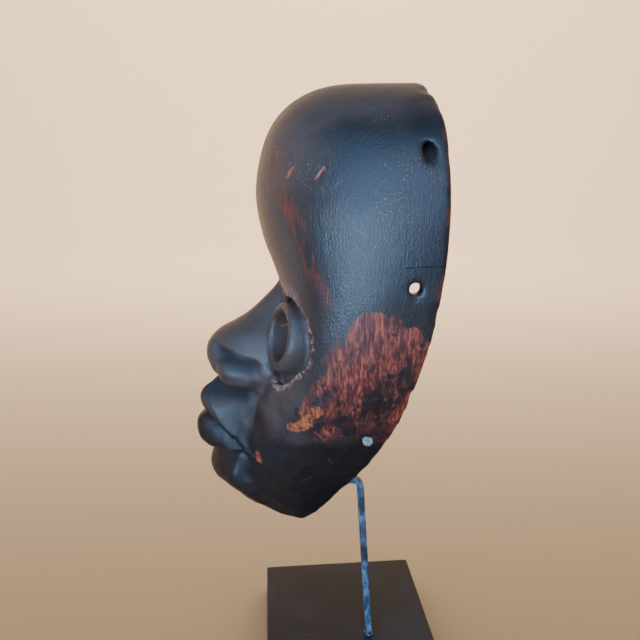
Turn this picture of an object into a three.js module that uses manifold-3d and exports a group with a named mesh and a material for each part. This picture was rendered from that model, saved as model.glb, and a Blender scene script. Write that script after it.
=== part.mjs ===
// A West African face mask, carved hollow from one block of dark wood, hung on a bent square
// steel rod that stands in a flat black base. Millimetres, +Z up. The face looks along -Y and
// its left cheek is towards +X. The origin is in the middle of the base's underside.
import * as THREE from "three";
import { mergeVertices } from "three/addons/utils/BufferGeometryUtils.js";
import Module from "manifold-3d";

const wasm = await Module();
wasm.setup();

// ---- Driving dimensions ----------------------------------------------------------------

// The mask, and where it hangs over the base.
const MASK_HEIGHT = 240;
const MASK_WIDTH = 145;
const MASK_DEPTH = 81; // from the back plane to the forehead
const MASK_WALL = 8; // at the sides and the crown
const FACE_WALL = 10; // at the forehead
const MASK_FOOT_Z = 106; // the chin's lowest point
const BACK_PLANE_Y = 28.8; // the flat back edge of the mask

// The round eyes: a tube stands up out of a groove.
const EYE_RADIUS = 18;
const EYE_BORE_RADIUS = 11.8;
const EYE_TUBE_LENGTH = 22;
const EYE_GROOVE_WIDTH = 4;
const EYE_GROOVE_DEPTH = 3.5;
const EYE_YAW = THREE.MathUtils.degToRad(16); // turned outwards
const EYE_PITCH = THREE.MathUtils.degToRad(11); // turned upwards

// The tie holes beside the back edge, and the pegs in the lowest pair.
const TIE_HOLE_RADIUS = 2.75;
const PEG_CLEARANCE = 0.15;

// The base.
const BASE_WIDTH = 140; // along X
const BASE_DEPTH = 105; // along Y
const BASE_HEIGHT = 16.5;
const BASE_BEVEL = 1.2;
const FELT_THICKNESS = 1.5;
const FELT_INSET = 2;

// The rod, from the base up into the hollow.
const BAR_WIDTH = 4;
const BAR_BEND_RADIUS = 5.5; // on the bar's centre line
const BAR_FOOT_Y = 12;
const BAR_LEAN = 7.6; // how far the post leans towards the face
const BAR_SHELF_Z = 128; // the level stretch that reaches in over the chin
const RISER_Y = -24; // the upright stretch inside the hollow
const FORK_Z = 282; // the cross rod that is welded to the riser's top
const FORK_HALF_WIDTH = 24;
const ROUND_ROD_RADIUS = 2;
const CHIN_STUB_Z = 151;
const SEAT_GAP = 0.3;

// The rubber caps that touch the wood.
const CAP_RADIUS = 3.8;
const CAP_DEPTH = 10;

// The hardware under the base.
const TENON_RADIUS = 1.9;
const TENON_HOLE_RADIUS = 2.3;
const COUNTERBORE_RADIUS = 8;
const COUNTERBORE_DEPTH = 9;
const WASHER_RADIUS = 5;
const WASHER_THICKNESS = 1;
const NUT_ACROSS_FLATS = 7;
const NUT_HEIGHT = 3.2;
const THREAD_CLEARANCE = 0.3;

// ---- Materials -------------------------------------------------------------------------

const finish = (color, roughness, metalness = 0) =>
  new THREE.MeshStandardMaterial({ color, roughness, metalness });

const patinatedWood = finish(0x2a2220, 0.45);
const greyPeg = finish(0x77746f, 0.75);
const blackPaint = finish(0x1c2126, 0.4, 0.3);
const blackRubber = finish(0x161616, 0.9);
const blackLacquer = finish(0x141415, 0.5);
const blackFelt = finish(0x101011, 1);
const zincSteel = finish(0x9a9d9e, 0.4, 1);

// ---- Solids ----------------------------------------------------------------------------

// A three.js geometry as a manifold solid.
function solid(geometry) {
  const bare = geometry.index ? geometry.toNonIndexed() : geometry.clone();
  bare.deleteAttribute("normal");
  bare.deleteAttribute("uv");
  const merged = mergeVertices(bare, 1e-4);
  const corners = merged.index.array;
  const kept = [];
  for (let i = 0; i < corners.length; i += 3) {
    const [a, b, c] = corners.slice(i, i + 3);
    if (a !== b && b !== c && c !== a) kept.push(a, b, c);
  }
  return new wasm.Manifold(
    new wasm.Mesh({
      numProp: 3,
      vertProperties: merged.attributes.position.array,
      triVerts: new Uint32Array(kept),
    }),
  );
}

// A manifold solid as a flat-shaded three.js geometry.
function geometryOf(made) {
  const { vertProperties, triVerts } = made.getMesh();
  const indexed = new THREE.BufferGeometry();
  indexed.setAttribute("position", new THREE.BufferAttribute(vertProperties, 3));
  indexed.setIndex(new THREE.BufferAttribute(triVerts, 1));
  const flat = indexed.toNonIndexed();
  flat.computeVertexNormals();
  return flat;
}

// A closed skin over a stack of rings with equal point counts. Point j of the first and last
// ring is joined to the point that mirrors it, which closes both ends.
function skinOver(rings) {
  const positions = [];
  const quad = (a, b, c, d) => {
    for (const corner of [a, b, c, a, c, d]) positions.push(...corner.toArray());
  };
  const last = rings[0].length - 1;
  for (let i = 0; i + 1 < rings.length; i += 1) {
    for (let j = 0; j <= last; j += 1) {
      const next = j === last ? 0 : j + 1;
      quad(rings[i][j], rings[i + 1][j], rings[i + 1][next], rings[i][next]);
    }
  }
  const [top, bottom] = [rings[0], rings[rings.length - 1]];
  for (let j = 0; j < (last - 1) / 2; j += 1) {
    quad(top[j], top[j + 1], top[last - j - 1], top[last - j]);
    quad(bottom[j + 1], bottom[j], bottom[last - j], bottom[last - j - 1]);
  }
  const geometry = new THREE.BufferGeometry();
  geometry.setAttribute("position", new THREE.Float32BufferAttribute(positions, 3));
  return geometry;
}

// A round piece turned about Z from its [radius, height] profile.
function turned(profile, segments) {
  const points = profile.map(([radius, height]) => new THREE.Vector2(radius, height));
  return new THREE.LatheGeometry(points, segments).rotateX(Math.PI / 2);
}

const rod = (radius, from, to, segments = 16) =>
  turned([[0, from], [radius, from], [radius, to], [0, to]], segments);

const tube = (inner, outer, from, to, segments) =>
  turned([[inner, from], [outer, from], [outer, to], [inner, to], [inner, from]], segments);

// Turns a piece that was made along Z so that it points along a direction from a place.
function aimed(geometry, place, direction) {
  const turn = new THREE.Quaternion().setFromUnitVectors(new THREE.Vector3(0, 0, 1), direction);
  return geometry.applyQuaternion(turn).translate(place.x, place.y, place.z);
}

function mesh(name, geometry, material) {
  const made = new THREE.Mesh(geometry, material);
  made.name = name;
  return made;
}

// ---- The mask's form -------------------------------------------------------------------

// The carving is drawn on a block 240 high, 145 wide and 81 from back plane to forehead, and
// stretched to the driving sizes. A place on it is x to the side, reach forward of the back
// plane and height above the chin's lowest point.
const DRAWN = { height: 240, width: 145, depth: 81 };
const WIDE = MASK_WIDTH / DRAWN.width;
const DEEP = MASK_DEPTH / DRAWN.depth;
const TALL = MASK_HEIGHT / DRAWN.height;

const onMask = (x, reach, height) =>
  new THREE.Vector3(x * WIDE, -reach * DEEP, height * TALL);

// Level sections of the plain dome, from the crown down to the chin: height, half width,
// reach of the front, reach of the back edge, and squareness of the curve between them.
const SECTIONS = [
  [240, 0, 27, 0, 2.2],
  [239, 15, 40, 0, 2.2],
  [235.5, 29, 53.5, 0, 2.2],
  [228, 46, 65.5, 0, 2.2],
  [217, 59, 74, 0, 2.25],
  [202, 68, 79, 0, 2.3],
  [185, 72, 80.8, 0, 2.35],
  [167, 72.5, 78, 0.2, 2.5],
  [152, 72, 72.6, 1.3, 2.8],
  [139, 71, 68.6, 2.8, 3.2],
  [124, 69, 68.8, 5.4, 3.5],
  [107, 65.5, 72.8, 9.2, 3.3],
  [89, 60, 79.8, 13.5, 3],
  [72, 53, 86.8, 19.4, 2.8],
  [56, 45.5, 92.8, 26.6, 2.6],
  [43, 38.5, 96.8, 34, 2.5],
  [33, 32, 97.8, 40.7, 2.4],
  [23, 26, 93.3, 45.6, 2.3],
  [13, 18.5, 81.3, 51.1, 2.2],
  [5, 11, 68.8, 57.1, 2.15],
  [1.5, 5.5, 64.3, 60.6, 2.1],
  [0, 0, 62.7, 62.7, 2.1],
];
const smooth = (points) => new THREE.CatmullRomCurve3(points, false, "catmullrom", 0.5);
const sectionShape = smooth(SECTIONS.map(([h, half, , , n]) => new THREE.Vector3(half, n, h)));
const sectionReach = smooth(SECTIONS.map(([h, , front, rim]) => new THREE.Vector3(front, rim, h)));

function sectionAt(along) {
  const shape = sectionShape.getPoint(along);
  const reach = sectionReach.getPoint(along);
  const half = Math.max(shape.x, 0);
  return { height: shape.z, half, squareness: shape.y, front: reach.x, rim: reach.y };
}

// The section at a height, found by halving because heights fall all the way along.
function sectionAtHeight(height) {
  let [above, below] = [0, 1];
  for (let i = 0; i < 30; i += 1) {
    const middle = (above + below) / 2;
    if (sectionShape.getPoint(middle).z > height) above = middle;
    else below = middle;
  }
  return sectionAt((above + below) / 2);
}

// How far forward the plain dome reaches at a place.
function domeReach(x, height) {
  const { half, squareness, front, rim } = sectionAtHeight(height);
  const across = Math.min(Math.abs(x) / Math.max(half, 0.01), 1);
  return rim + (front - rim) * (1 - across ** squareness) ** (1 / squareness);
}

// The dome as a solid, or the same form inset by a wall and drawn out behind the back edge,
// which is what the hollow is cut with.
function dome({ rows, columns, wall = 0, faceWall = 0, behind = 0 }) {
  const narrow = 1 - (2 * wall) / MASK_WIDTH;
  const short = 1 - (2 * wall) / MASK_HEIGHT;
  const shallow = 1 - faceWall / MASK_DEPTH;
  const rings = [];
  for (let row = 0; row <= rows; row += 1) {
    const { height, half, squareness, front, rim } = sectionAt(row / rows);
    const level = DRAWN.height / 2 + (height - DRAWN.height / 2) * short;
    const ring = [];
    for (let column = 0; column <= columns; column += 1) {
      const turn = ((column / columns) * 2 - 1) * (Math.PI / 2);
      const across = Math.sign(turn) * Math.abs(Math.sin(turn)) ** (2 / squareness);
      const forward = Math.max(Math.cos(turn), 0) ** (2 / squareness);
      const reach = (rim + (front - rim) * forward) * shallow;
      ring.push(onMask(across * half * narrow, reach, level));
    }
    if (behind > 0) {
      ring.unshift(onMask(-half * narrow, -behind, level));
      ring.push(onMask(half * narrow, -behind, level));
    }
    rings.push(ring);
  }
  return solid(skinOver(rings));
}

// Reads a hand-drawn line of [at, value] pairs as a smooth curve.
function along(line, at) {
  const place = THREE.MathUtils.clamp(at, line[0][0], line[line.length - 1][0]);
  let i = 0;
  while (i < line.length - 2 && place > line[i + 1][0]) i += 1;
  const slope = (j) => {
    const [before, after] = [line[Math.max(j - 1, 0)], line[Math.min(j + 1, line.length - 1)]];
    return (after[1] - before[1]) / (after[0] - before[0]);
  };
  const span = line[i + 1][0] - line[i][0];
  const t = (place - line[i][0]) / span;
  return (
    (2 * t ** 3 - 3 * t ** 2 + 1) * line[i][1] +
    (t ** 3 - 2 * t ** 2 + t) * span * slope(i) +
    (3 * t ** 2 - 2 * t ** 3) * line[i + 1][1] +
    (t ** 3 - t ** 2) * span * slope(i + 1)
  );
}

// A feature that stands out of the dome: its face is front(x, height) over a patch of places,
// and its root is sunk into the wall.
const ROOT_DEPTH = 4;
const LEAST_RELIEF = 0.6;
function relief({ columns, rows, place, front }) {
  const rings = [];
  for (let row = rows; row >= 0; row -= 1) {
    const face = [];
    const root = [];
    for (let column = -columns; column <= columns; column += 1) {
      const { x, height } = place(column / columns, row / rows);
      const sunk = domeReach(x, height) - ROOT_DEPTH;
      face.push(onMask(x, Math.max(front(x, height), sunk + LEAST_RELIEF), height));
      root.unshift(onMask(x, sunk, height));
    }
    rings.push([...face, ...root]);
  }
  return solid(skinOver(rings));
}

// ---- The nose --------------------------------------------------------------------------

const NOSE_FOOT = 90.3;
const NOSE_TOP = 146;
const WING = { x: 11.5, reach: 85, height: 98, half: [9.5, 15, 12.5] };
const WING_FOOT = 3.5; // how far the wings come down below the tip's underside
const NOSE_RIDGE = [
  [88, 101], [90.3, 103], [92.5, 106], [97, 108.4], [103, 109.8], [108, 109], [112.5, 106],
  [116.5, 101.3], [120.5, 93.8], [125, 86.6], [132, 78.8], [140, 71.3], [146, 68.3],
];
const NOSE_HALF_WIDTH = [[90, 15], [100, 15], [110, 14], [120, 12], [130, 9.5], [146, 7]];
const noseUnderside = (x) => NOSE_FOOT - 0.3 * Math.max(Math.abs(x) - 3, 0);

function noseFront(x, height) {
  const across = Math.abs(x) / along(NOSE_HALF_WIDTH, height);
  return along(NOSE_RIDGE, height) - 9 * across ** 2 - 12 * Math.max(across - 1, 0) ** 2;
}

function nose() {
  const ridge = relief({
    columns: 7,
    rows: 16,
    place: (across, up) => {
      const level = THREE.MathUtils.lerp(NOSE_FOOT, NOSE_TOP, up);
      const x = across * 1.9 * along(NOSE_HALF_WIDTH, level);
      return { x, height: THREE.MathUtils.lerp(noseUnderside(x), NOSE_TOP, up) };
    },
    front: noseFront,
  });
  let made = ridge;
  for (const side of [-1, 1]) {
    const wing = new THREE.SphereGeometry(1, 14, 10);
    const [wide, deep, tall] = WING.half;
    const centre = onMask(side * WING.x, WING.reach, WING.height);
    wing.scale(wide * WIDE, deep * DEEP, tall * TALL).translate(centre.x, centre.y, centre.z);
    made = made.add(solid(wing));
  }
  const slab = { wide: 60, deep: 60, tall: 20 };
  const below = onMask(0, WING.reach + 19, NOSE_FOOT - WING_FOOT - slab.tall / 2);
  const cutter = new THREE.BoxGeometry(slab.wide * WIDE, slab.deep * DEEP, slab.tall * TALL);
  return made.subtract(solid(cutter.translate(below.x, below.y, below.z)));
}

// ---- The lips --------------------------------------------------------------------------

const MOUTH_HALF_WIDTH = 28;
const outFromMiddle = (x) => Math.abs(x) / MOUTH_HALF_WIDTH;
const mouthSlit = (x) => 70 - 19 * outFromMiddle(x) ** 1.5;
const SLIT_OVERLAP = 0.5;
const lipTop = (x) => 90 - 0.25 * Math.abs(x);
const lipBottom = (x) => 51 + 1.4 * outFromMiddle(x) ** 2;

// The crease runs from beside the nose to the corner of the mouth, and the flat side of the
// muzzle climbs from it to a crest.
const creaseX = (height) => 28 - (8 * (height - 51)) / 35;
const MUZZLE_SIDE_SLOPE = 2.05;
const MUZZLE_FRONT = { middle: 114.2, bow: 0.038, crease: 84 };

function crestX(height) {
  const { middle, bow, crease } = MUZZLE_FRONT;
  const rise = MUZZLE_SIDE_SLOPE * creaseX(height) - (middle - crease);
  const root = Math.sqrt(Math.max(MUZZLE_SIDE_SLOPE ** 2 - 4 * bow * rise, 0));
  return (MUZZLE_SIDE_SLOPE - root) / (2 * bow);
}

function upperLipFront(x, height) {
  const { middle, bow, crease } = MUZZLE_FRONT;
  const front = middle - bow * x ** 2;
  const side = crease + (creaseX(height) - Math.abs(x)) * MUZZLE_SIDE_SLOPE;
  const overSlit = height - mouthSlit(x);
  const rolledIn = 3.5 * (1 - THREE.MathUtils.smoothstep(overSlit, 0, 4.5));
  const underTop = THREE.MathUtils.clamp((lipTop(x) - height) / 7, 0, 1);
  return Math.min(front, side) - rolledIn - 6 * (1 - underTop) ** 2;
}

function upperLip() {
  const middlePart = 0.7; // share of the columns that lie between the two crests
  return relief({
    columns: 8,
    rows: 9,
    place: (across, up) => {
      const out = Math.abs(across);
      let height = mouthSlit(0);
      let x = 0;
      for (let i = 0; i < 20; i += 1) {
        const crest = crestX(height);
        const beyond = (out - middlePart) / (1 - middlePart);
        x = out < middlePart
          ? (crest * out) / middlePart
          : THREE.MathUtils.lerp(crest, MOUTH_HALF_WIDTH, beyond);
        height = THREE.MathUtils.lerp(mouthSlit(x) - SLIT_OVERLAP, lipTop(x), up ** 1.5);
      }
      return { x: Math.sign(across) * x, height };
    },
    front: upperLipFront,
  });
}

function lowerLipFront(x, height) {
  const middle = (mouthSlit(x) + lipBottom(x)) / 2;
  const half = Math.max((mouthSlit(x) - lipBottom(x)) / 2, 0.3);
  const swell = Math.sqrt(Math.max(1 - ((height - middle) / half) ** 2, 0));
  const edge = 110 - 0.04 * x ** 2;
  const full = 117 - 0.043 * x ** 2;
  return Math.min(edge + (full - edge) * swell, 84 + (28.5 - Math.abs(x)) * 3);
}

const lowerLip = () =>
  relief({
    columns: 8,
    rows: 8,
    place: (across, up) => {
      const x = across * 27;
      const share = (1 - Math.cos(Math.PI * up)) / 2;
      return { x, height: THREE.MathUtils.lerp(lipBottom(x), mouthSlit(x), share) };
    },
    front: lowerLipFront,
  });

// ---- The chin --------------------------------------------------------------------------

const CHIN_PROFILE = [
  [4, 65], [7.4, 71], [11, 76.5], [14.8, 82.4], [20.3, 92], [26.8, 100.4], [31, 105.3],
  [34.5, 108.4], [38.5, 109.8], [44, 109.2], [54, 106],
];

const CHIN_HALF_WIDTH = 24;
const chin = () =>
  relief({
    columns: 6,
    rows: 12,
    place: (across, up) => {
      const height = THREE.MathUtils.lerp(7, 54, up);
      const half = Math.min(CHIN_HALF_WIDTH, 0.8 * sectionAtHeight(height).half);
      return { x: across * half, height };
    },
    front: (x, height) => along(CHIN_PROFILE, height) - 7 * (x / 17) ** 2,
  });

// ---- The eyes, the tie holes and the whole mask ----------------------------------------

const EYE = { x: 33, reach: 71.5, height: 120.5 };

// Makes a piece along the eye's own axis, with z = 0 at the front of the tube.
function atEye(side, geometry) {
  const outwards = new THREE.Vector3(
    side * Math.sin(EYE_YAW) * Math.cos(EYE_PITCH),
    -Math.cos(EYE_YAW) * Math.cos(EYE_PITCH),
    Math.sin(EYE_PITCH),
  );
  return solid(aimed(geometry, onMask(side * EYE.x, EYE.reach, EYE.height), outwards));
}

const SIDES = { left: 1, right: -1 };
const TIE_HOLES = [
  { x: 64, reach: 8.5, height: 206 },
  { x: 70, reach: 13.5, height: 151 },
];
const PEG_HOLE = { x: 55, reach: 29.5, height: 73 };

// A round cutter or plug that runs sideways through the wall at a hole.
function acrossWall(side, { x, reach, height }, radius) {
  const through = rod(radius, -2 * MASK_WALL, 2 * MASK_WALL, 20);
  return solid(aimed(through, onMask(side * x, reach, height), new THREE.Vector3(side, 0, 0)));
}

const plainDome = dome({ rows: 36, columns: 30 });
const hollow = dome({
  rows: 21,
  columns: 18,
  wall: MASK_WALL,
  faceWall: FACE_WALL,
  behind: 12,
});

function carvedShell() {
  const grooveBed = dome({
    rows: 21,
    columns: 18,
    wall: EYE_GROOVE_DEPTH,
    faceWall: EYE_GROOVE_DEPTH,
  });
  let shell = plainDome;
  for (const side of Object.values(SIDES)) {
    const grooveRadius = EYE_RADIUS + EYE_GROOVE_WIDTH;
    const groove = atEye(side, rod(grooveRadius, -EYE_TUBE_LENGTH, 20, 30)).subtract(grooveBed);
    shell = shell.subtract(groove).add(atEye(side, rod(EYE_RADIUS, -EYE_TUBE_LENGTH, 0, 30)));
  }
  shell = shell.add(upperLip()).add(lowerLip()).add(chin()).add(nose()).subtract(hollow);
  for (const side of Object.values(SIDES)) {
    shell = shell.subtract(atEye(side, rod(EYE_BORE_RADIUS, -50, 20, 30)));
    for (const hole of [...TIE_HOLES, PEG_HOLE]) {
      shell = shell.subtract(acrossWall(side, hole, TIE_HOLE_RADIUS));
    }
  }
  return shell;
}

// A peg fills its hole and is cut off flush with the wood, inside and out.
const rimPeg = (side) =>
  acrossWall(side, PEG_HOLE, TIE_HOLE_RADIUS - PEG_CLEARANCE)
    .intersect(plainDome)
    .subtract(hollow);

const mask = new THREE.Group();
mask.position.set(0, BACK_PLANE_Y, MASK_FOOT_Z);
mask.add(mesh("mask_shell", geometryOf(carvedShell()), patinatedWood));
for (const [name, side] of Object.entries(SIDES)) {
  mask.add(mesh(`rim_peg_${name}`, geometryOf(rimPeg(side)), greyPeg));
}

// ---- The base --------------------------------------------------------------------------

const BASE_TOP = FELT_THICKNESS + BASE_HEIGHT;
const COUNTERBORE_TOP = FELT_THICKNESS + COUNTERBORE_DEPTH;

function baseBlock() {
  const half = new THREE.Vector2(BASE_WIDTH / 2 - BASE_BEVEL, BASE_DEPTH / 2 - BASE_BEVEL);
  const outline = new THREE.Shape([
    new THREE.Vector2(-half.x, -half.y),
    new THREE.Vector2(half.x, -half.y),
    new THREE.Vector2(half.x, half.y),
    new THREE.Vector2(-half.x, half.y),
  ]);
  const block = new THREE.ExtrudeGeometry(outline, {
    depth: BASE_HEIGHT - 2 * BASE_BEVEL,
    bevelThickness: BASE_BEVEL,
    bevelSize: BASE_BEVEL,
    bevelSegments: 3,
  }).translate(0, 0, FELT_THICKNESS + BASE_BEVEL);
  const hole = rod(TENON_HOLE_RADIUS, 0, BASE_TOP + 1, 20).translate(0, BAR_FOOT_Y, 0);
  const well = rod(COUNTERBORE_RADIUS, 0, COUNTERBORE_TOP, 32).translate(0, BAR_FOOT_Y, 0);
  return solid(block).subtract(solid(hole)).subtract(solid(well));
}

const felt = new THREE.BoxGeometry(
  BASE_WIDTH - 2 * (BASE_BEVEL + FELT_INSET),
  BASE_DEPTH - 2 * (BASE_BEVEL + FELT_INSET),
  FELT_THICKNESS,
);

const washer = tube(
  TENON_RADIUS + THREAD_CLEARANCE,
  WASHER_RADIUS,
  COUNTERBORE_TOP - WASHER_THICKNESS,
  COUNTERBORE_TOP,
  24,
);

function nut() {
  const corner = NUT_ACROSS_FLATS / 2 / Math.cos(Math.PI / 6);
  const top = COUNTERBORE_TOP - WASHER_THICKNESS;
  const body = rod(corner, top - NUT_HEIGHT, top, 6);
  const thread = rod(TENON_RADIUS + THREAD_CLEARANCE, top - NUT_HEIGHT - 1, top + 1, 20);
  return solid(body).subtract(solid(thread));
}

// ---- The rod ---------------------------------------------------------------------------

// The centre line of the bar in the YZ plane, with each corner rounded.
function barLine() {
  const corners = [
    new THREE.Vector2(BAR_FOOT_Y, BASE_TOP),
    new THREE.Vector2(BAR_FOOT_Y - BAR_LEAN, BAR_SHELF_Z),
    new THREE.Vector2(RISER_Y, BAR_SHELF_Z),
    new THREE.Vector2(RISER_Y, FORK_Z),
  ];
  const steps = 6;
  const places = [{ at: corners[0], facing: new THREE.Vector2(0, 1) }];
  for (let i = 1; i + 1 < corners.length; i += 1) {
    const into = corners[i].clone().sub(corners[i - 1]).normalize();
    const out = corners[i + 1].clone().sub(corners[i]).normalize();
    const bend = into.angleTo(out);
    const setBack = BAR_BEND_RADIUS * Math.tan(bend / 2);
    const hand = Math.sign(into.cross(out));
    const start = corners[i].clone().addScaledVector(into, -setBack);
    const leftOf = new THREE.Vector2(-into.y, into.x).multiplyScalar(hand);
    const centre = start.clone().addScaledVector(leftOf, BAR_BEND_RADIUS);
    for (let step = 0; step <= steps; step += 1) {
      const turn = (hand * bend * step) / steps;
      const facing = into.clone().rotateAround(new THREE.Vector2(), turn);
      places.push({ at: start.clone().rotateAround(centre, turn), facing });
    }
  }
  places.push({ at: corners[3], facing: new THREE.Vector2(0, 1) });
  return places;
}

// The square bar with its threaded tenon, and a saddle in its top for the fork.
function postBar() {
  const side = (hand) =>
    barLine().map(({ at, facing }) => {
      const across = new THREE.Vector2(-facing.y, facing.x);
      return at.clone().addScaledVector(across, (hand * BAR_WIDTH) / 2);
    });
  const outline = new THREE.Shape([...side(1), ...side(-1).reverse()]);
  const bar = new THREE.ExtrudeGeometry(outline, { depth: BAR_WIDTH, bevelEnabled: false });
  // The outline was drawn with Y across and Z up, and the thickness goes along X.
  const axes = new THREE.Matrix4().makeBasis(
    new THREE.Vector3(0, 1, 0),
    new THREE.Vector3(0, 0, 1),
    new THREE.Vector3(1, 0, 0),
  );
  bar.applyMatrix4(axes).translate(-BAR_WIDTH / 2, 0, 0);
  const tenonEnd = COUNTERBORE_TOP - WASHER_THICKNESS - NUT_HEIGHT - 1.5;
  const tenon = rod(TENON_RADIUS, tenonEnd, BASE_TOP + 2, 20).translate(0, BAR_FOOT_Y, 0);
  const saddle = rod(ROUND_ROD_RADIUS + SEAT_GAP, -BAR_WIDTH, BAR_WIDTH);
  aimed(saddle, new THREE.Vector3(0, RISER_Y, FORK_Z), new THREE.Vector3(1, 0, 0));
  return solid(bar).add(solid(tenon)).subtract(solid(saddle));
}

// ---- The fork, the stub and their caps -------------------------------------------------

// How far a place in the stand's frame is from the wall of the hollow.
const hollowTriangles = (() => {
  const positions = geometryOf(hollow).translate(0, BACK_PLANE_Y, MASK_FOOT_Z).attributes.position;
  const corner = (i) => new THREE.Vector3().fromBufferAttribute(positions, i);
  const triangles = [];
  for (let i = 0; i < positions.count; i += 3) {
    triangles.push(new THREE.Triangle(corner(i), corner(i + 1), corner(i + 2)));
  }
  return triangles;
})();

function distanceToHollow(place) {
  const nearest = new THREE.Vector3();
  const distances = hollowTriangles.map((triangle) =>
    triangle.closestPointToPoint(place, nearest).distanceTo(place),
  );
  return Math.min(...distances);
}

// Moves a cap's round end along a direction until it rests against the wall of the hollow.
function restAgainstWall(start, direction) {
  const place = start.clone();
  for (let i = 0; i < 60; i += 1) {
    const spare = distanceToHollow(place) - CAP_RADIUS - SEAT_GAP;
    place.addScaledVector(direction, spare);
  }
  return place;
}

const UP = new THREE.Vector3(0, 0, 1);
const FORWARD = new THREE.Vector3(0, -1, 0);
const prongTop = restAgainstWall(new THREE.Vector3(FORK_HALF_WIDTH, RISER_Y, FORK_Z + 20), UP);
const stubTip = restAgainstWall(new THREE.Vector3(0, RISER_Y - 10, CHIN_STUB_Z), FORWARD);

// A rubber cap along Z with the middle of its round end at the origin and its mouth below.
function cap() {
  const bore = ROUND_ROD_RADIUS + SEAT_GAP;
  const profile = [[0, 0], [bore, 0], [bore, -CAP_DEPTH], [CAP_RADIUS, -CAP_DEPTH]];
  for (let step = 0; step <= 4; step += 1) {
    const turn = (step / 4) * (Math.PI / 2);
    profile.push([CAP_RADIUS * Math.cos(turn), CAP_RADIUS * Math.sin(turn)]);
  }
  return turned(profile, 16);
}

// The fork is one round rod bent to a U, with its prongs ending inside the caps.
function fork() {
  const bendRadius = 8;
  const half = FORK_HALF_WIDTH;
  const top = prongTop.z - SEAT_GAP;
  const at = (x, z) => new THREE.Vector3(x, RISER_Y, z);
  const path = new THREE.CurvePath();
  path.add(new THREE.LineCurve3(at(-half, top), at(-half, FORK_Z + bendRadius)));
  path.add(new THREE.QuadraticBezierCurve3(
    at(-half, FORK_Z + bendRadius), at(-half, FORK_Z), at(-half + bendRadius, FORK_Z)));
  path.add(new THREE.LineCurve3(at(-half + bendRadius, FORK_Z), at(half - bendRadius, FORK_Z)));
  path.add(new THREE.QuadraticBezierCurve3(
    at(half - bendRadius, FORK_Z), at(half, FORK_Z), at(half, FORK_Z + bendRadius)));
  path.add(new THREE.LineCurve3(at(half, FORK_Z + bendRadius), at(half, top)));
  const round = new THREE.Shape().absarc(0, 0, ROUND_ROD_RADIUS, 0, 2 * Math.PI);
  return new THREE.ExtrudeGeometry(round, { steps: 28, curveSegments: 6, extrudePath: path });
}

const stubLength = RISER_Y - BAR_WIDTH / 2 - stubTip.y - SEAT_GAP;
const stub = aimed(
  rod(ROUND_ROD_RADIUS, 0, stubLength),
  new THREE.Vector3(0, RISER_Y - BAR_WIDTH / 2, CHIN_STUB_Z),
  FORWARD,
);

const stand = new THREE.Group();
stand.add(mesh("base_block", geometryOf(baseBlock()), blackLacquer));
stand.add(mesh("base_felt", felt.translate(0, 0, FELT_THICKNESS / 2), blackFelt));
stand.add(mesh("post_bar", geometryOf(postBar()), blackPaint));
stand.add(mesh("foot_washer", washer.translate(0, BAR_FOOT_Y, 0), zincSteel));
stand.add(mesh("foot_nut", geometryOf(nut()).translate(0, BAR_FOOT_Y, 0), zincSteel));
stand.add(mesh("fork_bar", fork(), blackPaint));
for (const [name, side] of Object.entries(SIDES)) {
  const forkCap = mesh(`fork_cap_${name}`, cap(), blackRubber);
  forkCap.position.set(side * FORK_HALF_WIDTH, prongTop.y, prongTop.z);
  stand.add(forkCap);
}
stand.add(mesh("chin_stub", stub, blackPaint));
stand.add(mesh("chin_cap", aimed(cap(), stubTip, FORWARD), blackRubber));

const maskOnStand = new THREE.Group();
maskOnStand.add(stand, mask);

export default maskOnStand;
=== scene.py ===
import math

import bmesh
import bpy
import numpy as np
import openvdb
from mathutils import Matrix, Vector, noise


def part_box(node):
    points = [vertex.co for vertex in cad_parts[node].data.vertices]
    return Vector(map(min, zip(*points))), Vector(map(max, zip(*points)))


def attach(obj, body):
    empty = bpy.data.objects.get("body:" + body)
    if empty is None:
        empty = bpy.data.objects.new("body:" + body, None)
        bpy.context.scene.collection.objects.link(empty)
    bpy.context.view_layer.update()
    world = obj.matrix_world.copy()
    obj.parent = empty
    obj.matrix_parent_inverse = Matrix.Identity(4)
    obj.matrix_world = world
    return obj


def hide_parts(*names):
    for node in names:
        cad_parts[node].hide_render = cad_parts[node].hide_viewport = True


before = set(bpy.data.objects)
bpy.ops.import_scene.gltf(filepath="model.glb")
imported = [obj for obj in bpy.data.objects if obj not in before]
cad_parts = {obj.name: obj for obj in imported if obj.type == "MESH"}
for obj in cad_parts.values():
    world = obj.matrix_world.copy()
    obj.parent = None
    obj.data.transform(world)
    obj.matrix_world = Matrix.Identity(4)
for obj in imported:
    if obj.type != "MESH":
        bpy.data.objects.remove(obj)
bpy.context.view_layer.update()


# ---- The camera ----
# The mask is seen from its left side, barely from in front, and from a little over its brow.
# It looks down by the pitch, and its azimuth is counted from the front towards the left.

CAMERA_AZIMUTH = math.radians(85)
CAMERA_PITCH = math.radians(15.1)
CAMERA_PLACE = Vector((0.314, -0.0466, 0.3104))
LENS = 33.75

looking = Vector((
    -math.sin(CAMERA_AZIMUTH) * math.cos(CAMERA_PITCH),
    math.cos(CAMERA_AZIMUTH) * math.cos(CAMERA_PITCH),
    -math.sin(CAMERA_PITCH),
))
camera = bpy.data.objects.new("camera", bpy.data.cameras.new("camera"))
camera.data.lens = LENS
camera.data.clip_start = 0.01
camera.location = CAMERA_PLACE
camera.rotation_euler = looking.to_track_quat("-Z", "Y").to_euler()
bpy.context.scene.collection.objects.link(camera)
bpy.context.scene.camera = camera


# ---- The mask's block: the dome and the hollow ----
# The mask is carved from one block of close-grained wood. The outside is a dome with a high
# forehead, drawn in to a narrow chin, and the inside is hollowed out to follow it.

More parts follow.
